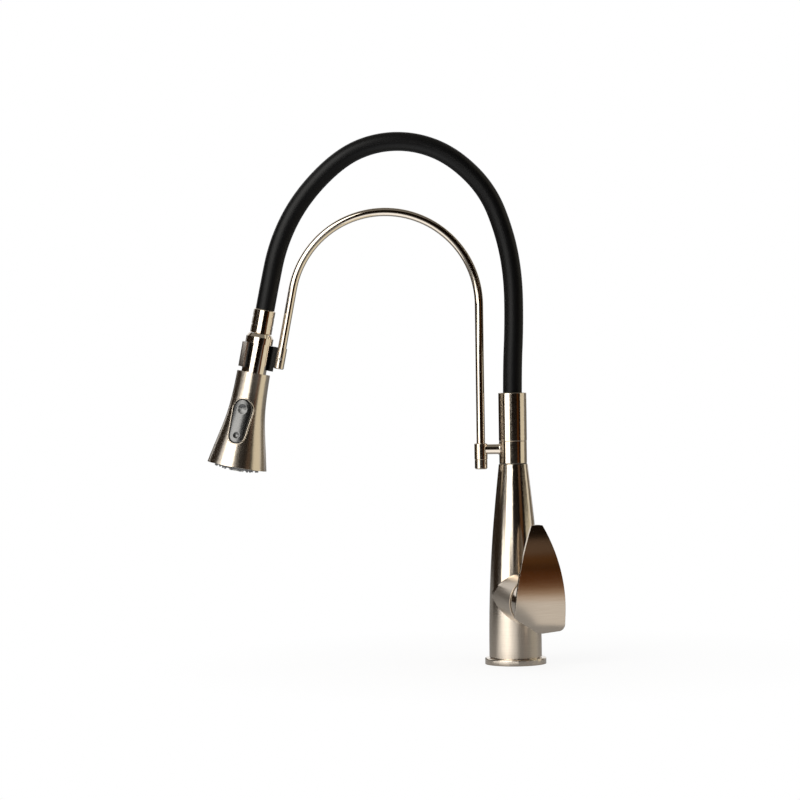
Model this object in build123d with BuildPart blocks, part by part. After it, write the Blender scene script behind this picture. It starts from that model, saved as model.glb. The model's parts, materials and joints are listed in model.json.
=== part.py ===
from build123d import *
from math import atan2, cos, degrees, radians, sin, sqrt, tan
import os

# Pull-down kitchen faucet with a free rubber hose over a bent support arm. Millimetres, +Z up.
# The origin is the centre of the base plate's underside, on the counter.
# The spout reaches along -X and the lever looks to -Y, turned a little to +X.

# Clearances
seat_slip = 0.1
running_slip = 0.06
moving_gap = 0.4

# Base plate and its seal
plate_radius = 29.0
plate_thickness = 6.0
plate_edge_round = 1.2
plate_hole_radius = 19.0
gasket_inner_radius = 22.0
gasket_width = 4.0
gasket_thickness = 2.0

# Valve body: a straight foot that draws in to a slim top
body_foot_radius = 24.9
body_top_radius = 13.7
body_top_height = 189.5
body_shadow_step = 0.8
body_shoulder_height = 85.0
body_waist_height = 127.0
body_waist_radius = 20.6
outlet_bore_radius = 6.0

# Supply ports and stud holes in the underside of the body
port_radius = 4.45
port_depth = 16.0
port_spread = 8.5
port_set_back = 1.0
waterway_radius = 2.6
stud_hole_radius = 3.4
stud_hole_depth = 14.0
stud_circle_radius = 14.0

# Side boss for the mixing cartridge and the ball shaped lever hub that turns in its cup
lever_height = 66.0
lever_bearing = 22.0
lever_dip = 5.5
boss_radius = 24.0
boss_length = 41.0
boss_rim_land = 0.8
hub_pivot_reach = 47.0
hub_depth_in_cup = 18.0
hub_bore_radius = 13.5
hub_end_wall = 3.0
hub_edge_round = 1.2

# Cartridge, its nut and the spindle that carries the lever
cartridge_radius = 16.2
cartridge_back = 1.0
cartridge_front = 21.0
cartridge_nut_length = 4.0
cartridge_nut_bore = 9.0
nut_slot_count = 6
nut_slot_width = 4.0
nut_slot_depth = 2.0
cartridge_seal_thickness = 1.2
spindle_radius = 5.0
spindle_start = 15.0
spindle_eye_radius = 5.5
spindle_eye_width = 12.0
pivot_pin_radius = 2.0
lug_height = 10.0

# Lever blade: a thin leaf bent in towards the column, with one lower corner cut off
blade_thickness = 2.2
blade_bend_radius = 195.0
blade_stand_off = 1.2
blade_half_width = 25.7
blade_shoulder_drop = 7.0
blade_full_corner_reach = 26.2
blade_full_corner_drop = 26.0
blade_full_corner_round = 6.0
blade_bottom_drop = 28.4
blade_bottom_round = 14.0
blade_cut_corner_drop = 12.4
blade_cut_corner_round = 2.5
blade_belly_reach = 20.0
blade_belly_height = 34.0
blade_tip_half_width = 5.8
blade_tip_height = 72.4
blade_tip_crown = 0.6
blade_pad_radius = 21.0
blade_tenon_radius = 5.0

# Swivel on top of the body
washer_thickness = 0.6
swivel_radius = 13.1
swivel_height = 21.2
swivel_edge = 0.35
spigot_radius = 9.0
spigot_bottom_height = 165.0
spigot_rise = 7.8
o_ring_radius = 0.72
o_ring_centre = 8.3
o_ring_heights = (198.0, 205.0)
snap_ring_thickness = 1.2
snap_ring_width = 2.4
snap_ring_lift = 0.9

# Sleeve and insert that hold the lower end of the hose
sleeve_radius = 13.3
sleeve_height = 45.7
sleeve_chamber_radius = 11.2
sleeve_chamber_height = 13.0
insert_flange_thickness = 3.6
insert_bore_radius = 4.0
insert_drop = 16.0
insert_rise = 22.0

# Support arm and its socket on the swivel ring
arm_radius = 4.0
arm_wall = 1.2
arm_offset = 30.4
arm_bend_height = 340.9
arm_bend_radius = 88.9
stub_radius = 4.75
stub_rise = 13.6
stub_fillet = 1.6
socket_radius = 6.2
socket_drop = 10.0
socket_rise = 5.7
socket_edge = 0.6
socket_plug_length = 5.2
socket_cap_length = 8.8
socket_cap_radius = 6.0
socket_cap_edge = 1.0
grub_screw_radius = 1.5

# Spray head axis: the lean from the vertical, its distance from the arm, and how far it hangs
head_tilt = 11.0
clip_reach = 22.4
head_drop = 174.4

# Holder clip at the end of the arm
clip_bottom = 94.2
clip_height = 23.5
clip_bearing = 23.0
jaw_outer_radius = 15.6
jaw_wall = 2.1
jaw_arm_length = 8.6
jaw_mouth_chamfer = 0.8
liner_clearance = 0.3
clip_pin_radius = 1.25
clip_pin_rise = 13.0
post_radius = 4.9
post_bottom_rise = 3.4
post_floor = 2.6
post_edge = 0.8
bridge_width = 7.0
bridge_bottom_rise = 4.6
bridge_jaw_angle = 36.0

# Hose: rubber tube, its route is chosen by eye
hose_radius = 9.0
hose_bore_radius = 6.0
hose_route = [
    (0.0, 274.0),
    (2.6, 322.0),
    (2.2, 368.0),
    (-5.0, 408.0),
    (-20.8, 449.4),
    (-52.9, 481.5),
    (-88.0, 496.2),
    (-125.5, 496.2),
    (-160.3, 481.5),
    (-197.2, 444.6),
    (-219.5, 403.0),
]
hose_end_lead = 40.0

# Spray head, measured along its axis from the bottom rim upwards
head_length = 90.0
head_top_radius = 15.75
head_rim_radius = 28.35
head_waist_rise = 45.0
head_waist_upper_radius = 16.4
head_waist_lower_radius = 19.2
head_wall = 2.0
neck_radius = 11.75
neck_foot = 84.0
neck_foot_radius = 13.4
nut_lip = 3.5
neck_bore_radius = 6.0
neck_chamber_radius = 8.4
neck_chamber_floor = 99.0
flange_gap = 0.3
flange_height = 9.2
flange_radius = 13.0
flange_chamfer_height = 3.2
flange_top_radius = 10.7
ferrule_gap = 0.3
ferrule_length = 23.0
ferrule_wall = 1.2
ferrule_edge = 0.8
crimp_groove_depth = 0.4
crimp_groove_width = 1.0
nipple_stem_radius = 6.5
nipple_barb_radius = 5.9
nipple_bore_radius = 3.6
nipple_collar_height = 3.0
nipple_barb_rise = 16.0
nipple_shoulder = 1.6
valve_radius = 8.3
valve_height = 9.0
valve_washer_height = 1.8
neck_washer_bore = 5.0
valve_hole_circle = 5.0
valve_hole_radius = 1.7
valve_hole_count = 4

# Inside the spray head
core_wall = 4.5
core_foot = 14.0
core_bore_radius = 5.0
core_skirt_height = 5.0
face_radius = 26.0
face_crown = 3.4
face_edge = 0.6
face_thickness = 1.8
face_seat = 3.2
nozzle_radius = 0.9
nozzle_length = 1.5
nozzle_mat_thickness = 1.2
nozzle_ring_radii = (13.0, 20.0)
nozzle_ring_counts = (10, 18)
aerator_radius = 7.0
aerator_wall = 1.2
aerator_hole_radius = 0.9
aerator_ring_radii = (2.6, 5.0)
aerator_ring_counts = (6, 10)

# Rocker button on the front of the head, a tapered pill, with a metal rim
button_bearing = 13.0
button_rise = 42.0
button_half_span = 12.6
button_upper_radius = 9.3
button_lower_radius = 7.3
button_proud = 0.7
button_thickness = 3.4
button_slip = 0.6
rim_width = 1.0
rim_proud = 0.5
upper_dimple_radius = 5.1
lower_dimple_radius = 3.3
dimple_depth = 0.8
button_pin_radius = 1.1
button_pin_depth = 6.4
button_lug_top = 2.2
button_lug_half_width = 4.0
button_ear_width = 2.0
button_ear_gap = 0.35
button_ear_height = 5.0

os.makedirs("parts", exist_ok=True)


def save(piece, label):
    """Label a finished piece and write it to its own file."""
    piece.part.label = label
    export_step(piece.part, f"parts/{label}.step")


def section(frame):
    """The half plane through a frame's axis: local x is the radius, local y runs along the axis."""
    return Plane(origin=frame.origin, x_dir=frame.x_dir, z_dir=-frame.y_dir)


def axis_of(frame):
    """The axis that a frame's turned pieces are revolved about."""
    return Axis(frame.origin, frame.z_dir)


def face_of(points):
    """A closed flat face through the given corners, in the sketch that is open."""
    Polygon(*points, align=None)


def ring_points(inner, outer, low, high):
    """The four corners of a plain ring's section."""
    return [(inner, low), (outer, low), (outer, high), (inner, high)]


def on_axis(frame, reach):
    """The point of a frame's axis at a distance from its origin."""
    return frame.origin + frame.z_dir * reach


# Frames of the three axes
column = Plane.XY
bearing = radians(lever_bearing)
dip = radians(lever_dip)
lever = Plane(
    origin=(0, 0, lever_height),
    x_dir=(cos(bearing), sin(bearing), 0),
    z_dir=(sin(bearing) * cos(dip), -cos(bearing) * cos(dip), -sin(dip)),
)
tilt = radians(head_tilt)
arm_bend_x = -arm_offset - arm_bend_radius
arm_bend_end = Vector(
    arm_bend_x - arm_bend_radius * cos(tilt), 0, arm_bend_height + arm_bend_radius * sin(tilt)
)
head_up = Vector(sin(tilt), 0, cos(tilt))
head_across = Vector(cos(tilt), 0, -sin(tilt))
head = Plane(
    origin=arm_bend_end - head_up * head_drop - head_across * clip_reach,
    x_dir=head_across,
    z_dir=head_up,
)

# Base plate
with BuildPart() as base_plate:
    with BuildSketch(section(column)):
        face_of(ring_points(plate_hole_radius, plate_radius, 0, plate_thickness))
    revolve(axis=Axis.Z)
    fillet(base_plate.edges().group_by(Axis.Z)[-1].sort_by(SortBy.RADIUS)[-1], plate_edge_round)
    with BuildSketch(section(column)):
        groove_outer = gasket_inner_radius + gasket_width
        face_of(ring_points(gasket_inner_radius, groove_outer, 0, gasket_thickness))
    revolve(axis=Axis.Z, mode=Mode.SUBTRACT)
save(base_plate, "base_plate")

# Rubber seal under the base plate
with BuildPart() as base_gasket:
    with BuildSketch(section(column)):
        gasket_low = gasket_inner_radius + seat_slip
        gasket_high = gasket_inner_radius + gasket_width - seat_slip
        face_of(ring_points(gasket_low, gasket_high, 0, gasket_thickness))
    revolve(axis=Axis.Z)
save(base_gasket, "base_gasket")

# Valve body with the side boss, the cup for the lever's hub and the waterways
cup_radius = sqrt((hub_pivot_reach - boss_length) ** 2 + (boss_radius - boss_rim_land) ** 2)
hub_radius = cup_radius - moving_gap
cartridge_bore_radius = cartridge_radius + seat_slip
hub_centre = on_axis(lever, hub_pivot_reach)
hub_end_reach = hub_pivot_reach + spindle_eye_radius + moving_gap + hub_end_wall
foot_height = plate_thickness + body_shadow_step
port_line = Vector(lever.x_dir.X, lever.x_dir.Y, 0)
port_middle = Vector(-lever.z_dir.X, -lever.z_dir.Y, 0).normalized() * port_set_back
port_places = [port_middle + port_line * port_spread, port_middle - port_line * port_spread]
stud_line = Vector(port_middle).normalized()
stud_places = [stud_line * stud_circle_radius, stud_line * -stud_circle_radius]
with BuildPart() as faucet_body:
    with BuildSketch(section(column)):
        with BuildLine():
            step = Polyline(
                (0, body_top_height),
                (0, 0),
                (plate_hole_radius - seat_slip, 0),
                (plate_hole_radius - seat_slip, plate_thickness),
                (body_foot_radius - body_shadow_step, plate_thickness),
                (body_foot_radius - body_shadow_step, foot_height),
                (body_foot_radius, foot_height),
            )
            Bezier(
                step @ 1,
                (body_foot_radius, body_shoulder_height),
                (body_waist_radius, body_waist_height),
                (body_top_radius, body_top_height),
            )
            Line((body_top_radius, body_top_height), step @ 0)
        make_face()
    revolve(axis=Axis.Z)
    with BuildSketch(lever):
        Circle(boss_radius)
    extrude(amount=boss_length)
    with BuildSketch(lever.offset(-cartridge_back - cartridge_seal_thickness)):
        Circle(cartridge_bore_radius)
    extrude(amount=cartridge_back + cartridge_seal_thickness + boss_length, mode=Mode.SUBTRACT)
    with Locations(hub_centre):
        Sphere(cup_radius, mode=Mode.SUBTRACT)
    with BuildSketch(Plane.XY.offset(lever_height)):
        Circle(outlet_bore_radius)
    extrude(amount=body_top_height - lever_height, mode=Mode.SUBTRACT)
    with BuildSketch(Plane.XY.offset(spigot_bottom_height)):
        Circle(spigot_radius + seat_slip)
    extrude(amount=body_top_height - spigot_bottom_height, mode=Mode.SUBTRACT)
    with BuildSketch():
        with Locations(*port_places):
            Circle(port_radius)
    extrude(amount=port_depth, mode=Mode.SUBTRACT)
    with BuildSketch():
        with Locations(*port_places):
            Circle(waterway_radius)
    extrude(amount=lever_height - cartridge_radius / 2, mode=Mode.SUBTRACT)
    with BuildSketch():
        with Locations(*stud_places):
            Circle(stud_hole_radius)
    extrude(amount=stud_hole_depth, mode=Mode.SUBTRACT)
save(faucet_body, "faucet_body")

# Rubber seal under the cartridge
with BuildPart() as cartridge_seal:
    with BuildSketch(lever.offset(-cartridge_back - cartridge_seal_thickness)):
        Circle(cartridge_radius)
        with Locations((port_spread, 0), (-port_spread, 0), (0, port_spread)):
            Circle(waterway_radius, mode=Mode.SUBTRACT)
    extrude(amount=cartridge_seal_thickness)
save(cartridge_seal, "cartridge_seal")

# Mixing cartridge
with BuildPart() as cartridge:
    with BuildSketch(lever.offset(-cartridge_back)):
        Circle(cartridge_radius)
        with Locations((port_spread, 0), (-port_spread, 0), (0, port_spread)):
            Circle(waterway_radius, mode=Mode.SUBTRACT)
    extrude(amount=cartridge_back + cartridge_front)
    with BuildSketch(lever.offset(spindle_start - seat_slip)):
        Circle(spindle_radius + running_slip)
    extrude(amount=cartridge_front, mode=Mode.SUBTRACT)
save(cartridge, "cartridge")

# Ring nut that holds the cartridge, with wrench slots
with BuildPart() as cartridge_nut:
    with BuildSketch(lever.offset(cartridge_front)):
        Circle(cartridge_radius)
        Circle(cartridge_nut_bore, mode=Mode.SUBTRACT)
    extrude(amount=cartridge_nut_length)
    with BuildSketch(lever.offset(cartridge_front + cartridge_nut_length)):
        with PolarLocations(cartridge_radius, nut_slot_count):
            Rectangle(cartridge_radius - cartridge_nut_bore, nut_slot_width)
    extrude(amount=-nut_slot_depth, mode=Mode.SUBTRACT)
save(cartridge_nut, "cartridge_nut")

# Spindle of the cartridge: it turns for temperature and its eye carries the lever's pin
across = Plane(origin=hub_centre, x_dir=lever.y_dir, z_dir=lever.x_dir)
with BuildPart() as cartridge_spindle:
    with BuildSketch(lever.offset(spindle_start)):
        Circle(spindle_radius)
    extrude(amount=hub_pivot_reach - spindle_start)
    with BuildSketch(across):
        Circle(spindle_eye_radius)
    extrude(amount=spindle_eye_width / 2, both=True)
    with BuildSketch(across):
        Circle(pivot_pin_radius + running_slip)
    extrude(amount=spindle_eye_width, both=True, mode=Mode.SUBTRACT)
save(cartridge_spindle, "cartridge_spindle")

# Pin that the lever lifts about
with BuildPart() as lever_pin:
    with BuildSketch(across):
        Circle(pivot_pin_radius)
    extrude(amount=hub_bore_radius - seat_slip, both=True)
save(lever_pin, "lever_pin")

# Ball shaped hub of the lever, hollow, with two lugs for the pin
hub_bottom = hub_pivot_reach - hub_depth_in_cup
hub_mouth_radius = sqrt(hub_radius**2 - hub_depth_in_cup**2)
hub_mid_angle = radians(45)
hub_cavity_end = hub_end_reach - hub_end_wall
with BuildPart() as lever_hub:
    with BuildSketch(section(lever)):
        with BuildLine():
            hub_edge = Polyline(
                (hub_radius, hub_pivot_reach),
                (hub_radius, hub_end_reach),
                (0, hub_end_reach),
                (0, hub_bottom),
                (hub_mouth_radius, hub_bottom),
            )
            RadiusArc(hub_edge @ 1, hub_edge @ 0, -hub_radius)
        make_face()
    revolve(axis=axis_of(lever))
    fillet(lever_hub.edges().sort_by(axis_of(lever))[-1], hub_edge_round)
    with BuildSketch(lever.offset(hub_bottom)):
        Circle(hub_bore_radius)
    extrude(amount=hub_cavity_end - hub_bottom, mode=Mode.SUBTRACT)
    lug_low = spindle_eye_width / 2 + moving_gap
    lug_depth = hub_bore_radius + hub_end_wall / 2 - lug_low
    with BuildSketch(lever.offset(hub_cavity_end)):
        with Locations((lug_low + lug_depth / 2, 0), (-lug_low - lug_depth / 2, 0)):
            Rectangle(lug_depth, lug_height)
    extrude(amount=hub_pivot_reach - lug_height / 2 - hub_cavity_end)
    with BuildSketch(across):
        Circle(pivot_pin_radius + seat_slip / 4)
    extrude(amount=hub_bore_radius, both=True, mode=Mode.SUBTRACT)
    with BuildSketch(lever.offset(hub_end_reach)):
        Circle(blade_tenon_radius + seat_slip)
    extrude(amount=-hub_end_wall, mode=Mode.SUBTRACT)
save(lever_hub, "lever_hub")

# Leaf shaped blade: a bent sheet cut to the leaf's outline, on a round pad with a tenon
blade_side = Plane(origin=lever.origin, x_dir=lever.y_dir, z_dir=lever.x_dir)
sheet_inside = hub_end_reach + blade_stand_off


def bent(height, reach):
    """A point of the bent sheet at a height above the hub's axis, with its reach at the axis."""
    return (height, reach - height**2 / (2 * blade_bend_radius))


with BuildPart() as lever_blade:
    with BuildSketch(blade_side):
        with BuildLine():
            low, high = -blade_bottom_drop - blade_thickness, blade_tip_height + blade_thickness
            sheet_outside = sheet_inside + blade_thickness
            inner_arc = ThreePointArc(
                bent(low, sheet_inside), bent(0, sheet_inside), bent(high, sheet_inside)
            )
            outer_arc = ThreePointArc(
                bent(low, sheet_outside), bent(0, sheet_outside), bent(high, sheet_outside)
            )
            Line(inner_arc @ 0, outer_arc @ 0)
            Line(inner_arc @ 1, outer_arc @ 1)
        make_face()
    extrude(amount=blade_half_width * 2, both=True)
    with BuildSketch(lever) as leaf:
        with BuildLine():
            right_side = ThreePointArc(
                (blade_half_width, -blade_shoulder_drop),
                (blade_belly_reach, blade_belly_height),
                (blade_tip_half_width, blade_tip_height),
            )
            tip = ThreePointArc(
                right_side @ 1,
                (0, blade_tip_height + blade_tip_crown),
                (-blade_tip_half_width, blade_tip_height),
            )
            left_side = ThreePointArc(
                tip @ 1,
                (-blade_belly_reach, blade_belly_height),
                (-blade_half_width, -blade_shoulder_drop),
            )
            Polyline(
                left_side @ 1,
                (-blade_half_width, -blade_cut_corner_drop),
                (0, -blade_bottom_drop),
                (blade_full_corner_reach, -blade_full_corner_drop),
                right_side @ 0,
            )
        make_face()
        rounds = [
            ((0, -blade_bottom_drop), blade_bottom_round),
            ((blade_full_corner_reach, -blade_full_corner_drop), blade_full_corner_round),
            ((-blade_half_width, -blade_cut_corner_drop), blade_cut_corner_round),
        ]
        for place, amount in rounds:
            fillet(leaf.vertices().sort_by_distance(place)[0], amount)
    extrude(amount=2 * hub_end_reach, mode=Mode.INTERSECT)
    with BuildSketch(lever.offset(hub_end_reach)):
        Circle(blade_pad_radius)
    extrude(amount=blade_stand_off + blade_thickness / 4)
    with BuildSketch(lever.offset(hub_end_reach)):
        Circle(blade_tenon_radius)
    extrude(amount=-hub_end_wall)
save(lever_blade, "lever_blade")

# Fixed spigot that the spout turns on
swivel_bottom = body_top_height + washer_thickness + running_slip
swivel_top = swivel_bottom + swivel_height
spigot_top = swivel_top + spigot_rise
snap_low = swivel_top + snap_ring_lift
snap_groove_radius = spigot_radius - snap_ring_width / 2
with BuildPart() as swivel_spigot:
    with BuildSketch(section(column)):
        face_of(ring_points(outlet_bore_radius, spigot_radius, spigot_bottom_height, spigot_top))
    revolve(axis=Axis.Z)
    with BuildSketch(section(column)):
        for height in o_ring_heights:
            groove_low = height - o_ring_radius - seat_slip
            groove_high = height + o_ring_radius + seat_slip
            face_of(ring_points(o_ring_centre - o_ring_radius, spigot_radius, groove_low, groove_high))
        face_of(
            ring_points(
                snap_groove_radius, spigot_radius, snap_low - seat_slip, snap_low + snap_ring_thickness
            )
        )
    revolve(axis=Axis.Z, mode=Mode.SUBTRACT)
save(swivel_spigot, "swivel_spigot")

# Two rubber rings in the spigot's grooves
for label, height in zip(("lower_o_ring", "upper_o_ring"), o_ring_heights):
    with BuildPart() as o_ring:
        with Locations((0, 0, height)):
            Torus(o_ring_centre, o_ring_radius)
    save(o_ring, label)

# Wear washer between the body and the swivel ring
with BuildPart() as wear_washer:
    with BuildSketch(Plane.XY.offset(body_top_height)):
        Circle(swivel_radius - seat_slip)
        Circle(spigot_radius + seat_slip, mode=Mode.SUBTRACT)
    extrude(amount=washer_thickness)
save(wear_washer, "wear_washer")

# Snap ring that keeps the swivel ring on the spigot
with BuildPart() as snap_ring:
    with BuildSketch(Plane.XY.offset(snap_low)):
        Circle(snap_groove_radius + seat_slip + snap_ring_width)
        Circle(snap_groove_radius + seat_slip, mode=Mode.SUBTRACT)
        with Locations((0, spigot_radius)):
            Rectangle(snap_ring_width, 2 * snap_ring_width, mode=Mode.SUBTRACT)
    extrude(amount=snap_ring_thickness - seat_slip)
save(snap_ring, "snap_ring")

# Swivel ring with the stub and the socket of the support arm
arm_axis = Plane(origin=(-arm_offset, 0, 0), x_dir=(1, 0, 0), z_dir=(0, 0, 1))
arm_fit = arm_radius + seat_slip
stub_height = swivel_bottom + stub_rise
socket_bottom_height = stub_height - socket_drop
socket_top_height = stub_height + socket_rise
arm_seat_height = socket_bottom_height + socket_plug_length
screw_height = (arm_seat_height + socket_top_height) / 2
with BuildPart() as swivel_ring:
    with BuildSketch(Plane.XY.offset(swivel_bottom)):
        Circle(swivel_radius)
    extrude(amount=swivel_height)
    chamfer(swivel_ring.edges().filter_by(GeomType.CIRCLE), swivel_edge)
    with BuildSketch(Plane.YZ):
        with Locations((0, stub_height)):
            Circle(stub_radius)
    extrude(amount=-arm_offset)
    fillet(
        swivel_ring.edges().filter_by(GeomType.CIRCLE, reverse=True).filter_by(GeomType.LINE, reverse=True),
        stub_fillet,
    )
    with BuildSketch(arm_axis.offset(socket_bottom_height)):
        Circle(socket_radius)
    extrude(amount=socket_top_height - socket_bottom_height)
    chamfer(swivel_ring.edges().filter_by(GeomType.CIRCLE).sort_by(Axis.X)[0:2], socket_edge)
    with BuildSketch(arm_axis.offset(socket_bottom_height)):
        Circle(arm_fit)
    extrude(amount=socket_top_height - socket_bottom_height, mode=Mode.SUBTRACT)
    with BuildSketch(Plane.XY.offset(swivel_bottom)):
        Circle(spigot_radius + running_slip)
    extrude(amount=swivel_height, mode=Mode.SUBTRACT)
    with BuildSketch(Plane.XZ):
        with Locations((-arm_offset, screw_height)):
            Circle(grub_screw_radius + seat_slip / 2)
    extrude(amount=-socket_radius, mode=Mode.SUBTRACT)
save(swivel_ring, "swivel_ring")

# Cap that closes the socket from below, with a plug under the arm
with BuildPart() as socket_cap:
    with BuildSketch(arm_axis.offset(socket_bottom_height)):
        Circle(socket_cap_radius)
    extrude(amount=-socket_cap_length)
    chamfer(socket_cap.edges().group_by(Axis.Z)[0], socket_cap_edge)
    with BuildSketch(arm_axis.offset(socket_bottom_height)):
        Circle(arm_radius)
    extrude(amount=arm_seat_height - socket_bottom_height)
save(socket_cap, "socket_cap")

# Grub screw that holds the arm in the socket
with BuildPart() as socket_screw:
    with BuildSketch(Plane.XZ.offset(-arm_radius - seat_slip)):
        with Locations((-arm_offset, screw_height)):
            Circle(grub_screw_radius)
    extrude(amount=-(socket_radius - arm_radius - 3 * seat_slip))
save(socket_screw, "socket_screw")

# Support arm: one tube, straight, bent over and straight again into the clip
post_bottom = clip_bottom + post_bottom_rise
post_top = clip_bottom + clip_height
arm_foot_in_post = post_bottom + post_floor
post_axis = Plane(origin=head.origin + head.x_dir * clip_reach, x_dir=head.x_dir, z_dir=head.z_dir)
clip_pin_plane = Plane(
    origin=on_axis(post_axis, clip_bottom + clip_pin_rise), x_dir=head.x_dir, z_dir=head.y_dir
)
with BuildPart() as support_arm:
    with BuildLine(Plane.XZ) as arm_path:
        rise = Line((-arm_offset, arm_seat_height), (-arm_offset, arm_bend_height))
        bend = JernArc(rise @ 1, rise % 1, arm_bend_radius, 180 - head_tilt)
        Line(bend @ 1, bend @ 1 - head_up * (head_drop - arm_foot_in_post))
    with BuildSketch(arm_axis.offset(arm_seat_height)):
        Circle(arm_radius)
        Circle(arm_radius - arm_wall, mode=Mode.SUBTRACT)
    sweep(path=arm_path.line)
    with BuildSketch(clip_pin_plane):
        Circle(clip_pin_radius + seat_slip / 2)
    extrude(amount=post_radius, both=True, mode=Mode.SUBTRACT)
save(support_arm, "support_arm")

# Holder clip: a U shaped jaw round the neck, a bridge and a post for the arm
mouth = radians(clip_bearing)
clip = Plane(
    origin=on_axis(head, clip_bottom),
    x_dir=head.x_dir * sin(mouth) - head.y_dir * cos(mouth),
    z_dir=head.z_dir,
)
jaw_inner_radius = jaw_outer_radius - jaw_wall
liner_outer_radius = jaw_inner_radius - seat_slip
liner_inner_radius = neck_radius + liner_clearance


def jaw_face(outer, inner, arm_length):
    """A flat U with parallel arms of a given length, open along the local x axis."""
    Circle(outer)
    with Locations((arm_length / 2, 0)):
        Rectangle(arm_length, 2 * outer)
    Circle(inner, mode=Mode.SUBTRACT)
    with Locations((outer / 2 + arm_length / 2, 0)):
        Rectangle(outer + arm_length, 2 * inner, mode=Mode.SUBTRACT)
    with Locations((arm_length + outer / 2, 0)):
        Rectangle(outer, 2 * outer, mode=Mode.SUBTRACT)


bridge_jaw = radians(bridge_jaw_angle)
jaw_middle = (jaw_outer_radius + jaw_inner_radius) / 2
bridge_run = Vector(clip_reach - jaw_middle * cos(bridge_jaw), jaw_middle * sin(bridge_jaw), 0)
bridge_lean = degrees(atan2(bridge_run.Y, bridge_run.X))
with BuildPart() as holder_clip:
    with BuildSketch(head.offset(clip_bottom + bridge_bottom_rise)):
        with Locations((clip_reach - bridge_run.X / 2, bridge_run.Y / 2)):
            Rectangle(bridge_run.length, bridge_width, rotation=-bridge_lean)
    extrude(amount=clip_height - bridge_bottom_rise)
    with BuildSketch(post_axis.offset(post_bottom)):
        Circle(post_radius)
    extrude(amount=post_top - post_bottom)
    chamfer(holder_clip.edges().filter_by(GeomType.CIRCLE).sort_by(axis_of(head))[0], post_edge)
    with BuildSketch(clip):
        jaw_face(jaw_outer_radius, jaw_inner_radius, jaw_arm_length)
        with Locations((jaw_arm_length / 2, jaw_inner_radius)):
            Rectangle(jaw_arm_length, jaw_outer_radius, mode=Mode.SUBTRACT)
    extrude(amount=clip_height)
    with BuildSketch(clip):
        Circle(jaw_inner_radius)
        with Locations((jaw_outer_radius / 2, 0)):
            Rectangle(jaw_outer_radius, 2 * jaw_inner_radius)
        with Locations((jaw_outer_radius / 2, jaw_outer_radius / 2 + seat_slip / 2)):
            Rectangle(jaw_outer_radius, jaw_outer_radius + seat_slip)
    extrude(amount=clip_height, mode=Mode.SUBTRACT)
    with BuildSketch(post_axis.offset(arm_foot_in_post)):
        Circle(arm_fit)
    extrude(amount=post_top - arm_foot_in_post, mode=Mode.SUBTRACT)
    with BuildSketch(clip_pin_plane):
        Circle(clip_pin_radius + seat_slip / 2)
    extrude(amount=post_radius, both=True, mode=Mode.SUBTRACT)
save(holder_clip, "holder_clip")

# Pin through the post and the arm
with BuildPart() as clip_pin:
    with BuildSketch(clip_pin_plane):
        Circle(clip_pin_radius)
    extrude(amount=post_radius - 2 * seat_slip, both=True)
save(clip_pin, "clip_pin")

# Black liner of the jaw, with a block that replaces the metal on the post's side
with BuildPart() as clip_liner:
    with BuildSketch(clip):
        jaw_face(liner_outer_radius, liner_inner_radius, jaw_arm_length)
        block_width = jaw_outer_radius - liner_inner_radius
        with Locations((jaw_arm_length / 2 + seat_slip / 2, liner_inner_radius + block_width / 2)):
            Rectangle(jaw_arm_length - seat_slip, block_width)
    extrude(amount=clip_height)
save(clip_liner, "clip_liner")

# Sleeve that stands on the swivel ring and holds the lower end of the hose
sleeve_top = swivel_top + sleeve_height
hose_foot = swivel_top + sleeve_chamber_height
hose_seat_radius = hose_radius + seat_slip
with BuildPart() as hose_sleeve:
    with BuildSketch(section(column)):
        face_of(ring_points(hose_seat_radius, sleeve_radius, swivel_top, sleeve_top))
    revolve(axis=Axis.Z)
    chamfer(hose_sleeve.edges().filter_by(GeomType.CIRCLE), swivel_edge)
    with BuildSketch(Plane.XY.offset(swivel_top)):
        Circle(sleeve_chamber_radius)
    extrude(amount=sleeve_chamber_height, mode=Mode.SUBTRACT)
save(hose_sleeve, "hose_sleeve")

# Insert that the hose is pushed on; its lower end dips into the spigot
insert_radius = outlet_bore_radius - running_slip
with BuildPart() as hose_insert:
    with BuildSketch(section(column)):
        flange_low = hose_foot - insert_flange_thickness
        face_of(ring_points(insert_bore_radius, insert_radius, flange_low - insert_drop, hose_foot + insert_rise))
        face_of(ring_points(insert_bore_radius, sleeve_chamber_radius - seat_slip, flange_low, hose_foot))
    revolve(axis=Axis.Z)
save(hose_insert, "hose_insert")

# Levels along the head's axis, from the neck up to the hose
neck_top = clip_bottom + clip_height + flange_gap
flange_top = neck_top + flange_height
ferrule_low = flange_top + ferrule_gap
hose_end_level = ferrule_low + nipple_shoulder

# Hose: straight runs joined by tangent arcs, from the insert over the arch to the nipple
hose_start = Vector(0, 0, hose_foot)
hose_corners = [hose_start] + [Vector(x, 0, z) for x, z in hose_route]
hose_corners.append(on_axis(head, hose_end_level + hose_end_lead))
hose_corners.append(on_axis(head, hose_end_level))
hose_bends = []
for before, corner, after in zip(hose_corners, hose_corners[1:], hose_corners[2:]):
    run_in = corner - before
    run_out = after - corner
    half_turn = radians(run_in.get_angle(run_out)) / 2
    hose_bends.append(0.45 * min(run_in.length, run_out.length) / tan(half_turn))
print("hose bend radii", [round(bend, 1) for bend in hose_bends])
with BuildPart() as spray_hose:
    with BuildLine() as hose_path:
        FilletPolyline(*hose_corners, radius=hose_bends)
    with BuildSketch(Plane.XY.offset(hose_foot)):
        Circle(hose_radius)
        Circle(hose_bore_radius, mode=Mode.SUBTRACT)
    sweep(path=hose_path.line)
save(spray_hose, "spray_hose")
print("hose length", round(sum(edge.length for edge in hose_path.edges()), 1))

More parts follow.
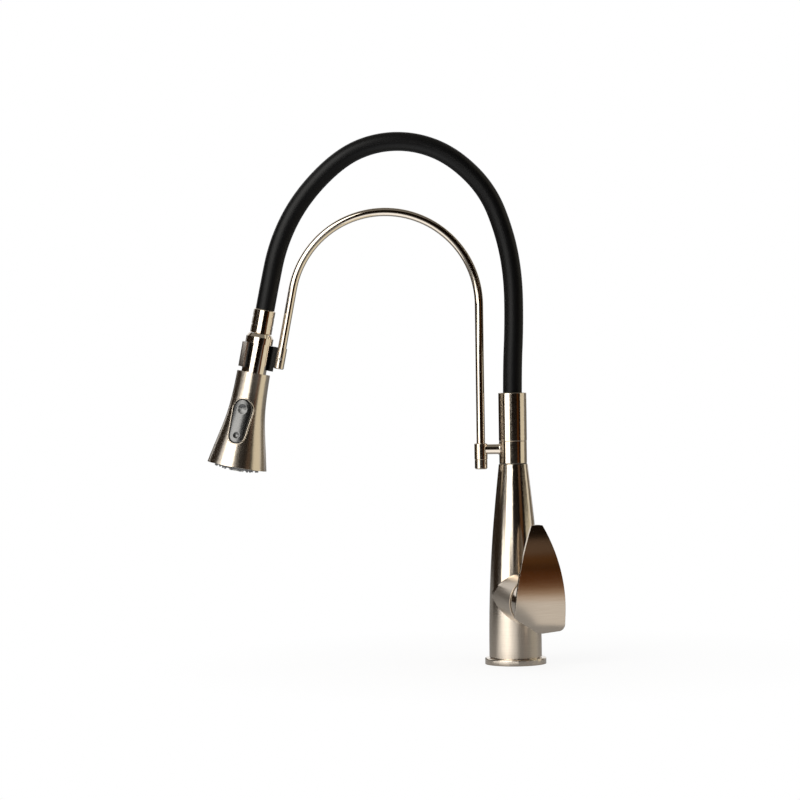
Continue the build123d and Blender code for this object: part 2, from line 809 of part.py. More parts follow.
# Polished ferrule over the hose's end, with two crimp grooves
ferrule_top = ferrule_low + ferrule_length
ferrule_radius = hose_seat_radius + ferrule_wall
with BuildPart() as hose_ferrule:
    with BuildSketch(section(head)):
        face_of(ring_points(hose_seat_radius, ferrule_radius, ferrule_low, ferrule_top))
    revolve(axis=axis_of(head))
    chamfer(hose_ferrule.edges().filter_by(GeomType.CIRCLE).sort_by(SortBy.RADIUS)[-2:], ferrule_edge)
    with BuildSketch(section(head)):
        for level in (ferrule_low + ferrule_length / 3, ferrule_low + ferrule_length * 2 / 3):
            groove_floor = ferrule_radius - crimp_groove_depth
            face_of(ring_points(groove_floor, ferrule_radius, level, level + crimp_groove_width))
    revolve(axis=axis_of(head), mode=Mode.SUBTRACT)
save(hose_ferrule, "hose_ferrule")

# Nipple inside the hose's end; its collar turns under the swivel nut
collar_top = neck_top - nut_lip - moving_gap
collar_low = collar_top - nipple_collar_height
collar_radius = neck_chamber_radius - running_slip
with BuildPart() as hose_nipple:
    with BuildSketch(section(head)):
        barb_top = hose_end_level + nipple_barb_rise
        face_of(ring_points(nipple_bore_radius, hose_bore_radius - seat_slip, ferrule_low, barb_top))
        face_of(ring_points(nipple_bore_radius, hose_radius, ferrule_low, hose_end_level))
        face_of(ring_points(nipple_bore_radius, nipple_stem_radius, collar_low, ferrule_low))
        face_of(ring_points(nipple_bore_radius, collar_radius, collar_low, collar_top))
    revolve(axis=axis_of(head))
save(hose_nipple, "hose_nipple")

# Swivel nut: the flange that rests on the clip, screwed into the neck
with BuildPart() as swivel_nut:
    with BuildSketch(section(head)):
        nut_bore = nipple_stem_radius + running_slip
        nut_lip_radius = neck_chamber_radius - seat_slip
        face_of(
            [
                (nut_bore, neck_top - nut_lip),
                (nut_lip_radius, neck_top - nut_lip),
                (nut_lip_radius, neck_top),
                (flange_radius, neck_top),
                (flange_radius, flange_top - flange_chamfer_height),
                (flange_top_radius, flange_top),
                (nut_bore, flange_top),
            ]
        )
    revolve(axis=axis_of(head))
save(swivel_nut, "swivel_nut")

# Neck of the spray head, with a foot that the shell's top holds
neck_foot_top = head_length - head_wall
with BuildPart() as spray_neck:
    with BuildSketch(section(head)):
        face_of(ring_points(neck_bore_radius, neck_radius, neck_foot, neck_top))
        face_of(ring_points(neck_bore_radius, neck_foot_radius, neck_foot, neck_foot_top))
    revolve(axis=axis_of(head))
    with BuildSketch(head.offset(neck_chamber_floor)):
        Circle(neck_chamber_radius)
    extrude(amount=neck_top - neck_chamber_floor, mode=Mode.SUBTRACT)
save(spray_neck, "spray_neck")

# Washer and check valve in the neck
valve_low = neck_chamber_floor + valve_washer_height
with BuildPart() as neck_washer:
    with BuildSketch(head.offset(neck_chamber_floor)):
        Circle(valve_radius)
        Circle(neck_washer_bore, mode=Mode.SUBTRACT)
    extrude(amount=valve_washer_height)
save(neck_washer, "neck_washer")
with BuildPart() as check_valve:
    with BuildSketch(head.offset(valve_low)):
        Circle(valve_radius)
        with PolarLocations(valve_hole_circle, valve_hole_count):
            Circle(valve_hole_radius, mode=Mode.SUBTRACT)
    extrude(amount=valve_height)
save(check_valve, "check_valve")


def shell_point(share, grow):
    """A point of the head's outline at a share of its curve, grown or shrunk in radius."""
    rest = 1 - share
    weights = (rest**3, 3 * share * rest**2, 3 * share**2 * rest, share**3)
    widths = (head_top_radius, head_waist_upper_radius, head_waist_lower_radius, head_rim_radius)
    levels = (head_length, head_waist_rise, head_waist_rise, 0)
    width = sum(weight * value for weight, value in zip(weights, widths))
    level = sum(weight * value for weight, value in zip(weights, levels))
    return (width + grow, level)


def shell_radius(level):
    """The head's outside radius at a level above its rim."""
    low, high = 0.0, 1.0
    for _ in range(40):
        middle = (low + high) / 2
        if shell_point(middle, 0)[1] > level:
            low = middle
        else:
            high = middle
    return shell_point(low, 0)[0]


def outline_points(grow):
    """The four control points of the head's outline, grown or shrunk in radius."""
    return [
        (head_top_radius + grow, head_length),
        (head_waist_upper_radius + grow, head_waist_rise),
        (head_waist_lower_radius + grow, head_waist_rise),
        (head_rim_radius + grow, 0),
    ]


# Frame of the rocker button: its origin lies on the head's surface, its z looks outwards
facing = radians(button_bearing)
button_out = head.x_dir * -sin(facing) - head.y_dir * cos(facing)
button_radius = shell_radius(button_rise)
flare = shell_radius(button_rise - button_thickness) - shell_radius(button_rise + button_thickness)
slope = atan2(flare, 2 * button_thickness)
rocker = Plane(
    origin=on_axis(head, button_rise) + button_out * button_radius,
    x_dir=head.x_dir * cos(facing) - head.y_dir * sin(facing),
    z_dir=button_out * cos(slope) + head.z_dir * sin(slope),
)
button_pin_plane = Plane(
    origin=rocker.origin - rocker.z_dir * button_pin_depth, x_dir=rocker.y_dir, z_dir=rocker.x_dir
)


def button_face(grow):
    """The tapered pill of the button in the open sketch, grown all round."""
    with Locations((0, button_half_span)):
        Circle(button_upper_radius + grow)
    with Locations((0, -button_half_span)):
        Circle(button_lower_radius + grow)
    lean = (button_upper_radius - button_lower_radius) / (2 * button_half_span)
    rise = sqrt(1 - lean**2)
    upper, lower = button_upper_radius + grow, button_lower_radius + grow
    corners = [
        (upper * rise, button_half_span + upper * lean * -1),
        (-upper * rise, button_half_span + upper * lean * -1),
        (-lower * rise, -button_half_span + lower * lean * -1),
        (lower * rise, -button_half_span + lower * lean * -1),
    ]
    Polygon(*corners, align=None)


button_cut = button_thickness + head_rim_radius / 2
rim_grow = button_slip + rim_width

# Flared shell of the spray head with the button's opening
with BuildPart() as head_shell:
    with BuildSketch(section(head)):
        with BuildLine():
            outside = Bezier(*outline_points(0))
            inside = Bezier(*outline_points(-head_wall))
            Line(outside @ 0, inside @ 0)
            Line(outside @ 1, inside @ 1)
        make_face()
        face_of(ring_points(neck_radius + seat_slip, head_top_radius - head_wall / 2, neck_foot_top, head_length))
    revolve(axis=axis_of(head))
    with BuildSketch(head):
        Circle(face_radius + seat_slip)
    extrude(amount=face_seat, mode=Mode.SUBTRACT)
    with BuildSketch(rocker):
        button_face(rim_grow + seat_slip / 2)
    extrude(amount=button_cut / 2, both=True, mode=Mode.SUBTRACT)
save(head_shell, "head_shell")

# Thin metal rim round the button
with BuildPart() as button_rim:
    with BuildSketch(section(head)):
        with BuildLine():
            outside = Bezier(*outline_points(rim_proud))
            inside = Bezier(*outline_points(-button_thickness))
            Line(outside @ 0, inside @ 0)
            Line(outside @ 1, inside @ 1)
        make_face()
    revolve(axis=axis_of(head))
    with BuildSketch(rocker):
        button_face(rim_grow)
    extrude(amount=button_cut / 2, both=True, mode=Mode.INTERSECT)
    with BuildSketch(rocker):
        button_face(button_slip)
    extrude(amount=button_cut / 2, both=True, mode=Mode.SUBTRACT)
save(button_rim, "button_rim")

# Rocker button with two round dimples and two ears on its pin
with BuildPart() as spray_button:
    with BuildSketch(section(head)):
        with BuildLine():
            outside = Bezier(*outline_points(button_proud))
            inside = Bezier(*outline_points(-button_thickness))
            Line(outside @ 0, inside @ 0)
            Line(outside @ 1, inside @ 1)
        make_face()
    revolve(axis=axis_of(head))
    with BuildSketch(rocker):
        button_face(0)
    extrude(amount=button_cut / 2, both=True, mode=Mode.INTERSECT)
    with BuildSketch(rocker.offset(button_proud - dimple_depth)):
        with Locations((0, button_half_span)):
            Circle(upper_dimple_radius)
        with Locations((0, -button_half_span)):
            Circle(lower_dimple_radius)
    extrude(amount=button_thickness, mode=Mode.SUBTRACT)
    ear_place = button_lug_half_width + button_ear_gap + button_ear_width / 2
    ear_depth = button_pin_depth + button_ear_height / 2 - button_thickness + dimple_depth
    with BuildSketch(rocker.offset(dimple_depth - button_thickness)):
        with Locations((ear_place, 0), (-ear_place, 0)):
            Rectangle(button_ear_width, button_ear_height)
    extrude(amount=-ear_depth)
    with BuildSketch(button_pin_plane):
        Circle(button_pin_radius + running_slip)
    extrude(amount=head_rim_radius / 2, both=True, mode=Mode.SUBTRACT)
save(spray_button, "spray_button")

# Pin of the button
with BuildPart() as button_pin:
    with BuildSketch(button_pin_plane):
        Circle(button_pin_radius)
    extrude(amount=button_lug_half_width + button_ear_gap + button_ear_width, both=True)
save(button_pin, "button_pin")

# Core that carries the water down the head, with a skirt in the shell and a lug for the button
core_radius = core_bore_radius + core_wall
skirt_top = core_foot + core_skirt_height
skirt_slip = head_wall + 2 * seat_slip
with BuildPart() as head_core:
    with BuildSketch(section(head)):
        face_of(ring_points(core_bore_radius, core_radius, core_foot, neck_foot))
        face_of(
            [
                (core_bore_radius, core_foot),
                (shell_radius(core_foot) - skirt_slip, core_foot),
                (shell_radius(skirt_top) - skirt_slip, skirt_top),
                (core_bore_radius, skirt_top),
            ]
        )
    revolve(axis=axis_of(head))
    with BuildSketch(rocker.offset(button_lug_top - button_pin_depth)):
        Rectangle(2 * button_lug_half_width, button_ear_height)
    extrude(amount=-(button_radius - button_pin_depth + button_lug_top - core_radius * cos(slope)) - core_wall / 2)
    with BuildSketch(button_pin_plane):
        Circle(button_pin_radius + seat_slip / 4)
    extrude(amount=head_rim_radius / 2, both=True, mode=Mode.SUBTRACT)
save(head_core, "head_core")


def crown_level(radius, lift):
    """The level of the bulged spray face at a radius, lifted into the head."""
    return face_edge - (face_edge + face_crown) * (1 - (radius / face_radius) ** 2) + lift


aerator_hole = aerator_radius + seat_slip
nozzle_places = [
    (radius, count, crown_level(radius, 0) - nozzle_length)
    for radius, count in zip(nozzle_ring_radii, nozzle_ring_counts)
]

# Bulged spray face with the nozzle holes
with BuildPart() as spray_face:
    with BuildSketch(section(head)):
        with BuildLine():
            bulge = ThreePointArc(
                (0, crown_level(0, 0)),
                (face_radius / 2, crown_level(face_radius / 2, 0)),
                (face_radius, crown_level(face_radius, 0)),
            )
            rest_of_face = Polyline(
                bulge @ 1,
                (face_radius, face_seat),
                (face_radius - face_thickness, face_seat),
                (face_radius - face_thickness, crown_level(face_radius - face_thickness, face_thickness)),
            )
            hollow = ThreePointArc(
                rest_of_face @ 1,
                (face_radius / 2, crown_level(face_radius / 2, face_thickness)),
                (0, crown_level(0, face_thickness)),
            )
            Line(hollow @ 1, bulge @ 0)
        make_face()
    revolve(axis=axis_of(head))
    with BuildSketch(head.offset(-2 * face_crown)):
        Circle(aerator_hole)
        for radius, count, level in nozzle_places:
            with PolarLocations(radius, count):
                Circle(nozzle_radius + seat_slip)
    extrude(amount=4 * face_crown, mode=Mode.SUBTRACT)
save(spray_face, "spray_face")

# Soft mat behind the face with one nub through each hole
with BuildPart() as nozzle_mat:
    mat_edge = face_radius - face_thickness - moving_gap
    mat_low = face_thickness + seat_slip
    mat_high = mat_low + nozzle_mat_thickness
    with BuildSketch(section(head)):
        with BuildLine():
            under = ThreePointArc(
                (0, crown_level(0, mat_low)),
                (mat_edge / 2, crown_level(mat_edge / 2, mat_low)),
                (mat_edge, crown_level(mat_edge, mat_low)),
            )
            over = ThreePointArc(
                (0, crown_level(0, mat_high)),
                (mat_edge / 2, crown_level(mat_edge / 2, mat_high)),
                (mat_edge, crown_level(mat_edge, mat_high)),
            )
            Line(under @ 0, over @ 0)
            Line(under @ 1, over @ 1)
        make_face()
    revolve(axis=axis_of(head))
    for radius, count, level in nozzle_places:
        with BuildSketch(head.offset(level)):
            with PolarLocations(radius, count):
                Circle(nozzle_radius)
        extrude(amount=nozzle_length + mat_low + nozzle_mat_thickness / 2)
    with BuildSketch(head.offset(-2 * face_crown)):
        Circle(aerator_hole)
    extrude(amount=4 * face_crown, mode=Mode.SUBTRACT)
save(nozzle_mat, "nozzle_mat")

# Aerator in the middle of the face, up to the core
with BuildPart() as aerator:
    with BuildSketch(head.offset(-face_crown - nozzle_length / 2)):
        Circle(aerator_radius)
        for radius, count in zip(aerator_ring_radii, aerator_ring_counts):
            with PolarLocations(radius, count):
                Circle(aerator_hole_radius, mode=Mode.SUBTRACT)
    extrude(amount=face_thickness)
    with BuildSketch(head.offset(-face_crown - nozzle_length / 2 + face_thickness)):
        Circle(aerator_radius)
        Circle(aerator_radius - aerator_wall, mode=Mode.SUBTRACT)
    extrude(amount=core_foot + face_crown + nozzle_length / 2 - face_thickness)
save(aerator, "aerator")
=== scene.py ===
import json
import math

import bpy
import numpy as np
from mathutils import Matrix, Vector


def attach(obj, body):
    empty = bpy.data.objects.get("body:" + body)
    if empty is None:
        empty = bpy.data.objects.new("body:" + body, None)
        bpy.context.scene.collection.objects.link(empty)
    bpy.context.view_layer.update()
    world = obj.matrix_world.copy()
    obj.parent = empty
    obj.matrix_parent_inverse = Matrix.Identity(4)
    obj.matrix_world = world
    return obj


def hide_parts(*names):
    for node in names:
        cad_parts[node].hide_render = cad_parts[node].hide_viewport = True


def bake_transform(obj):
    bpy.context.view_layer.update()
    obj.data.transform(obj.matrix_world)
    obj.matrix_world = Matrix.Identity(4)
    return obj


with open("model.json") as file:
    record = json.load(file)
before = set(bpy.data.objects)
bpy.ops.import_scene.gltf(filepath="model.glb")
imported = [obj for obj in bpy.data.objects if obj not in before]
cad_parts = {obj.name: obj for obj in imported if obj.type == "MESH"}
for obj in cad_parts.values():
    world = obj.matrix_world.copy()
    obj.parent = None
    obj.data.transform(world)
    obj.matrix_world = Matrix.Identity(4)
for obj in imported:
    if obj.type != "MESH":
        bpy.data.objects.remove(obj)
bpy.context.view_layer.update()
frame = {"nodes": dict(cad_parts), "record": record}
nodes = frame["nodes"]

# Hose, in metres as all sizes here: its radii, and the control points of its route up to the ferrule
HOSE_RADIUS = 0.0090
HOSE_BORE = 0.0060
HOSE_ROUTE = [
    (0.0, 0.0, 0.22436),
    (0.0, 0.0, 0.2740),
    (0.0026, 0.0, 0.3220),
    (0.0022, 0.0, 0.3680),
    (-0.0050, 0.0, 0.4080),
    (-0.0208, 0.0, 0.4494),
    (-0.0529, 0.0, 0.4815),
    (-0.0880, 0.0, 0.4962),
    (-0.1255, 0.0, 0.4962),
    (-0.1603, 0.0, 0.4815),
    (-0.1972, 0.0, 0.4446),
    (-0.2195, 0.0, 0.4030),
    (-0.22957, 0.0, 0.35693),
    (-0.23720, 0.0, 0.31767),
]

# Spray head: its foot, its lean, and the control points (radius, level) of its flared outline
HEAD_FOOT = np.array([-0.261832, 0.0, 0.190941])
HEAD_TILT = math.radians(11.0)
HEAD_OUTLINE = np.array([(0.01575, 0.090), (0.0164, 0.045), (0.0192, 0.045), (0.02835, 0.0)])

# Points read along that outline, and rounds in which a point is brought to the head's surface
OUTLINE_POINTS = 400
SURFACE_ROUNDS = 30

# Rocker button: its place on the head, and its tapered pill with an upper and a lower end
BUTTON_BEARING = math.radians(13.0)
BUTTON_RISE = 0.042
BUTTON_HALF_SPAN = 0.0126
BUTTON_RADII = (0.0093, 0.0073)
BUTTON_PROUD = 0.0007
BUTTON_DEPTH = 0.0034

# Its border rolls off over a width and by a drop, and each end has a round hollow
BUTTON_ROLL = (0.0012, 0.0009)
HOLLOW_RADII = (0.0051, 0.0033)
HOLLOW_DEPTHS = (0.0013, 0.0010)
HOLLOW_POWER = 1.4

# Rows of points on its underside, and on its top: close together at the border, even in the middle
UNDER_ROWS = 9
BORDER_ROWS = 14
BORDER_SPREAD = 0.55
MIDDLE_ROWS = 22
MIDDLE_SHARE = 0.66

# Lip of the rim: from the button's border outwards, how far it stands out, and its points across
RIM_BAND = (0.0006, 0.0016)
RIM_PROUD = 0.0004
RIM_POINTS = 11

# Camera of the photograph: a long lens from the front, a little above the middle of the faucet
CAMERA_AIM = Vector((-0.10645, 0.0, 0.25155))
CAMERA_PLACE = Vector((-0.10645, -3.0, 0.32025))
CAMERA_ROLL = math.radians(-0.80)
VIEW_WIDTH_AT_AIM = 0.758
SENSOR_WIDTH = 36.0

# Points closer than this are one point, and edges sharper than this stay sharp
SAME_PLACE = 0.000002
SMOOTH_ANGLE = math.radians(28)

# Broken edges of the metal pieces, and the width of the border between two finishes on one piece
EDGE_BREAK = 0.0003
SATIN_BORDER = 0.0008

# Height of a bump of full strength, for the hair lines on metal and for the grain on plastic
HAIR_HEIGHT = 0.00005
GRAIN_HEIGHT = 0.0001

# Noise values at which a surface reaches its first and its second tone
HAIR_RANGE = (0.30, 0.70)
GRAIN_RANGE = (0.25, 0.75)

# Turned metal smears gloss across its lines, a quarter turn from the way round the axis
QUARTER_TURN = 0.25


def colour(code):
    """An sRGB hex code as linear red, green, blue and alpha."""
    parts = [int(code[i:i + 2], 16) / 255 for i in (0, 2, 4)]
    linear = [p / 12.92 if p <= 0.04045 else ((p + 0.055) / 1.055) ** 2.4 for p in parts]
    return (*linear, 1.0)


def grey(level):
    """A linear grey as red, green, blue and alpha."""
    return (level, level, level, 1.0)


def add_node(tree, kind, settings=None, inputs=None):
    """One node with its settings; an input is a value, or an output socket to link from."""
    node = tree.nodes.new(kind)
    for name, value in (settings or {}).items():
        setattr(node, name, value)
    for name, value in (inputs or {}).items():
        if isinstance(value, bpy.types.NodeSocket):
            tree.links.new(value, node.inputs[name])
        else:
            node.inputs[name].default_value = value
    return node


def new_material(name):
    """An empty material with its node tree and its output node."""
    material = bpy.data.materials.new(name)
    material.use_nodes = True
    tree = material.node_tree
    tree.nodes.clear()
    return material, tree, tree.nodes.new("ShaderNodeOutputMaterial")


def finished(material, tree, output, shader):
    """Links the shader to the output and hands the material back."""
    tree.links.new(shader.outputs[0], output.inputs["Surface"])
    return material


def metal(name, tones, rough, hair, bump, turned=0.0, broken_edges=True, satin=None):
    """A metal between two tones and two roughnesses, with hair lines of these sizes along x, y and z.

    Turned smears gloss upright. Satin is a radius round the upright axis and the roughness beyond it.
    """
    material, tree, output = new_material(name)
    place = add_node(tree, "ShaderNodeTexCoord")
    stretch = add_node(
        tree,
        "ShaderNodeMapping",
        inputs={"Vector": place.outputs["Object"], "Scale": tuple(1 / size for size in hair)},
    )
    lines = add_node(
        tree,
        "ShaderNodeTexNoise",
        inputs={"Vector": stretch.outputs["Vector"], "Scale": 1.0, "Detail": 3.0, "Roughness": 0.6},
    )
    share = add_node(
        tree,
        "ShaderNodeMapRange",
        inputs={"Value": lines.outputs["Fac"], "From Min": HAIR_RANGE[0], "From Max": HAIR_RANGE[1]},
    )
    base = add_node(
        tree,
        "ShaderNodeMix",
        {"data_type": "RGBA"},
        {0: share.outputs["Result"], 6: colour(tones[0]), 7: colour(tones[1])},
    )
    gloss = add_node(
        tree,
        "ShaderNodeMapRange",
        inputs={"Value": share.outputs["Result"], "To Min": rough[0], "To Max": rough[1]},
    )
    relief = add_node(
        tree,
        "ShaderNodeBump",
        inputs={"Height": lines.outputs["Fac"], "Strength": bump, "Distance": HAIR_HEIGHT},
    )
    if broken_edges:
        edge = add_node(tree, "ShaderNodeBevel", {"samples": 4}, {"Radius": EDGE_BREAK})
        tree.links.new(edge.outputs["Normal"], relief.inputs["Normal"])
    shader = add_node(
        tree,
        "ShaderNodeBsdfPrincipled",
        inputs={
            "Base Color": base.outputs[2],
            "Metallic": 1.0,
            "Roughness": gloss.outputs["Result"],
            "Normal": relief.outputs["Normal"],
        },
    )
    if satin:
        flat = add_node(
            tree,
            "ShaderNodeVectorMath",
            {"operation": "MULTIPLY"},
            {0: place.outputs["Object"], 1: (1.0, 1.0, 0.0)},
        )
        from_axis = add_node(
            tree, "ShaderNodeVectorMath", {"operation": "LENGTH"}, {0: flat.outputs["Vector"]}
        )
        beyond = add_node(
            tree,
            "ShaderNodeMapRange",
            inputs={
                "Value": from_axis.outputs["Value"],
                "From Min": satin[0],
                "From Max": satin[0] + SATIN_BORDER,
            },
        )
        both_finishes = add_node(
            tree,
            "ShaderNodeMix",
            inputs={0: beyond.outputs["Result"], 2: gloss.outputs["Result"], 3: satin[1]},
        )
        tree.links.new(both_finishes.outputs[0], shader.inputs["Roughness"])
    if turned:
        around = add_node(tree, "ShaderNodeTangent", {"direction_type": "RADIAL", "axis": "Z"})
        tree.links.new(around.outputs["Tangent"], shader.inputs["Tangent"])
        shader.inputs["Anisotropic"].default_value = turned
        shader.inputs["Anisotropic Rotation"].default_value = QUARTER_TURN
    return finished(material, tree, output, shader)


def moulded(name, tones, rough, grain, bump, shine=0.5, lacquer=0.0):
    """A moulded plastic or rubber between two tones and two roughnesses, with a grain of that size.

    Shine is the level of its gloss, and lacquer the weight of a second coat of gloss.
    """
    material, tree, output = new_material(name)
    place = add_node(tree, "ShaderNodeTexCoord")
    scale = add_node(
        tree,
        "ShaderNodeMapping",
        inputs={"Vector": place.outputs["Object"], "Scale": (1 / grain, 1 / grain, 1 / grain)},
    )
    texture = add_node(
        tree,
        "ShaderNodeTexNoise",
        inputs={"Vector": scale.outputs["Vector"], "Scale": 1.0, "Detail": 4.0},
    )
    share = add_node(
        tree,
        "ShaderNodeMapRange",
        inputs={"Value": texture.outputs["Fac"], "From Min": GRAIN_RANGE[0], "From Max": GRAIN_RANGE[1]},
    )
    base = add_node(
        tree,
        "ShaderNodeMix",
        {"data_type": "RGBA"},
        {0: share.outputs["Result"], 6: colour(tones[0]), 7: colour(tones[1])},
    )
    gloss = add_node(
        tree,
        "ShaderNodeMapRange",
        inputs={"Value": texture.outputs["Fac"], "To Min": rough[0], "To Max": rough[1]},
    )
    relief = add_node(
        tree,
        "ShaderNodeBump",
        inputs={"Height": texture.outputs["Fac"], "Strength": bump, "Distance": GRAIN_HEIGHT},
    )
    shader = add_node(
        tree,
        "ShaderNodeBsdfPrincipled",
        inputs={
            "Base Color": base.outputs[2],
            "Roughness": gloss.outputs["Result"],
            "Specular IOR Level": shine,
            "Coat Weight": lacquer,
            "Coat Roughness": sum(rough) / 2,
            "Normal": relief.outputs["Normal"],
        },
    )
    return finished(material, tree, output, shader)


# Metals

# Brush lines are a few hundredths of a millimetre wide; they are drawn 0.4 mm wide and 20 mm long to show
LEVEL_HAIR = (0.020, 0.020, 0.0004)
# Polished or finely turned metal shows no lines from here, only a faint unevenness, drawn 2 mm across
EVEN_HAIR = (0.002, 0.002, 0.002)
NICKEL = ("cbbfb0", "d6cbbd")

# Nickel plate on turned brass, brushed round the column: warm grey, bands of light smeared upright
turned_nickel = metal("turned_nickel", NICKEL, (0.15, 0.18), LEVEL_HAIR, bump=0.004, turned=0.4)
# The same, but rubbed with a coarser belt past this radius, to this roughness: a soft silver sheen there
BELTED_FROM = (0.0240, 0.36)
belted_nickel = metal(
    "belted_nickel", NICKEL, (0.15, 0.18), LEVEL_HAIR, bump=0.004, turned=0.4, satin=BELTED_FROM
)
# The same plate buffed finer on the thin upper pieces: bands of light stay narrow
buffed_nickel = metal(
    "buffed_nickel", ("cec2b3", "d6cbbd"), (0.11, 0.13), LEVEL_HAIR, bump=0.003, turned=0.2
)
# The same plate with a satin finish on the spray head: bands of light with soft borders
satin_nickel = metal("satin_nickel", ("cbc0b1", "d0c5b7"), (0.22, 0.25), LEVEL_HAIR, bump=0.001)
# Nickel plate brushed by hand: the same warm grey, reflections a little soft
brushed_nickel = metal("brushed_nickel", NICKEL, (0.13, 0.16), LEVEL_HAIR, bump=0.003)
# Polished nickel plate: the same warm grey metal with sharp reflections
polished_nickel = metal(
    "polished_nickel", ("d0c5b6", "dacfc1"), (0.06, 0.09), EVEN_HAIR, bump=0.0, broken_edges=False
)
# Stainless steel, turned: a colder grey with a satin gloss
turned_steel = metal("turned_steel", ("a5a5a5", "bcbcbc"), (0.25, 0.35), EVEN_HAIR, bump=0.05)
# Brass, machined: yellow with a satin gloss
machined_brass = metal("machined_brass", ("b08d4c", "c9a763"), (0.25, 0.35), EVEN_HAIR, bump=0.05)

# Rubber and plastic: the grain of a mould is about 0.1 mm, and is drawn about 1 mm across to show

# EPDM rubber of the hose, extruded: almost black, matte, with a faint bloom
extruded_rubber = moulded(
    "extruded_rubber", ("030304", "060607"), (0.38, 0.44), grain=0.0015, bump=0.03, shine=0.20
)
# Rubber of the seals, moulded: black and dull
moulded_rubber = moulded("moulded_rubber", ("0d0d0d", "181818"), (0.55, 0.70), grain=0.001, bump=0.10)
# Black ABS of the rocker button, moulded and lacquered: black with a broad grey sheen
lacquered_abs = moulded(
    "lacquered_abs",
    ("050506", "09090b"),
    (0.25, 0.28),
    grain=0.0008,
    bump=0.01,
    shine=1.0,
    lacquer=1.0,
)
# Black acetal of the clip's liner, moulded: black and half matte; the wear washer takes it too, as painted
# shade in the seam between ring and body
black_acetal_and_seam_shade = moulded("black_acetal_and_seam_shade", ("0a0a0a", "131313"), (0.45, 0.55), grain=0.001, bump=0.05)
# White acetal of the inner pieces, moulded: a waxy off-white
white_acetal = moulded("white_acetal", ("c9c8c2", "dcdbd6"), (0.40, 0.50), grain=0.001, bump=0.05)
# Grey ABS of the spray face, moulded: mid grey with a low sheen
moulded_abs = moulded("moulded_abs", ("4a4a4b", "5a5a5b"), (0.35, 0.45), grain=0.001, bump=0.05)
# Grey silicone of the nubs, moulded: a lighter grey and dull
moulded_silicone = moulded(
    "moulded_silicone", ("6a6b6d", "7c7d80"), (0.50, 0.60), grain=0.001, bump=0.05
)

# The finish of each slot
FINISHES = {
    "brushed_nickel": brushed_nickel,
    "polished_nickel": polished_nickel,
    "stainless_steel": turned_steel,
    "brass": machined_brass,
    "black_rubber": moulded_rubber,
    "black_plastic": black_acetal_and_seam_shade,
    "white_plastic": white_acetal,
    "grey_plastic": moulded_abs,
    "grey_silicone": moulded_silicone,
}
# Pieces whose finish differs from their slot's; the washer is black as painted shade, the shadow in the
# seam between ring and body
OWN_FINISH = {
    "wear_washer": black_acetal_and_seam_shade,
    "base_plate": turned_nickel,
    "faucet_body": belted_nickel,
    "swivel_ring": buffed_nickel,
    "hose_sleeve": buffed_nickel,
    "head_shell": satin_nickel,
}


def clean_edges(piece):
    """Joins points in one place, and keeps real edges sharp under smooth shading."""
    weld = piece.modifiers.new("weld", "WELD")
    weld.merge_threshold = SAME_PLACE
    split = piece.modifiers.new("edges", "EDGE_SPLIT")
    split.split_angle = SMOOTH_ANGLE


# Every CAD node keeps its shape; it is shaded smooth up to its real edges and gets its finish
for part in frame["record"]["subparts"]:
    piece = nodes[part["node"]]
    finish = OWN_FINISH.get(part["node"], FINISHES[part["material_slot"]])
    piece.data.materials.clear()
    piece.data.materials.append(finish)
    piece.data.shade_smooth()
    clean_edges(piece)


def mesh_object(name, vertices, faces, material, smooth=True):
    """A mesh piece from arrays of vertices and faces, in place, with its material."""
    mesh = bpy.data.meshes.new(name)
    mesh.from_pydata(vertices.reshape(-1, 3).tolist(), [], faces.tolist())
    mesh.update()
    if smooth:
        mesh.shade_smooth()
    mesh.materials.append(material)
    piece = bpy.data.objects.new(name, mesh)
    bpy.context.scene.collection.objects.link(piece)
    return piece


def spline_points(route, name):
    """Points along a smooth spline that has the route as its control points."""
    curve = bpy.data.curves.new(name, "CURVE")
    curve.dimensions = "3D"
    curve.resolution_u = 16
    spline = curve.splines.new("NURBS")
    spline.points.add(len(route) - 1)
    for point, place in zip(spline.points, route):
        point.co = (*place, 1.0)
    spline.order_u = 3
    spline.use_endpoint_u = True
    holder = bpy.data.objects.new(name, curve)
    bpy.context.scene.collection.objects.link(holder)
    bpy.context.view_layer.update()
    line = bpy.data.meshes.new_from_object(holder)
    points = np.empty(3 * len(line.vertices), np.float32)
    line.vertices.foreach_get("co", points)
    bpy.data.objects.remove(holder)
    bpy.data.meshes.remove(line)
    return points.reshape(-1, 3).astype(float)


def grid_faces(rows, columns, close_rows=False):
    """Four-cornered faces of a grid whose columns go round; the rows can close on themselves too."""
    row = np.arange(rows if close_rows else rows - 1)[:, None]
    column = np.arange(columns)[None, :]
    a = row * columns + column
    b = row * columns + (column + 1) % columns
    c = ((row + 1) % rows) * columns + (column + 1) % columns
    d = ((row + 1) % rows) * columns + column
    return np.stack([a, b, c, d], axis=-1).reshape(-1, 4)


def tube(name, points, outer, inner, material, around=48):
    """A hollow tube along a line in the plane y = 0, its outside there and its inside back.

    Each point carries a circle square to the line: a radius times cosine sideways plus sine upwards.
    """
    along = np.gradient(points, axis=0)
    along /= np.linalg.norm(along, axis=1, keepdims=True)
    side = np.tile(np.array([0.0, 1.0, 0.0]), (len(points), 1))
    up = np.cross(along, side)
    angle = np.linspace(0, 2 * np.pi, around, endpoint=False)[None, :, None]
    ring = np.cos(angle) * side[:, None, :] + np.sin(angle) * up[:, None, :]
    outside = points[:, None, :] + outer * ring
    inside = points[:, None, :] + inner * ring
    vertices = np.concatenate([outside, inside[::-1]])
    return mesh_object(name, vertices, grid_faces(2 * len(points), around, close_rows=True), material)


# Hose: a rubber tube on the smooth spline of its route
hose_line = spline_points(HOSE_ROUTE, "hose_route")
hose = tube("rubber_hose", hose_line, HOSE_RADIUS, HOSE_BORE, extruded_rubber)
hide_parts("spray_hose")
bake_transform(hose)


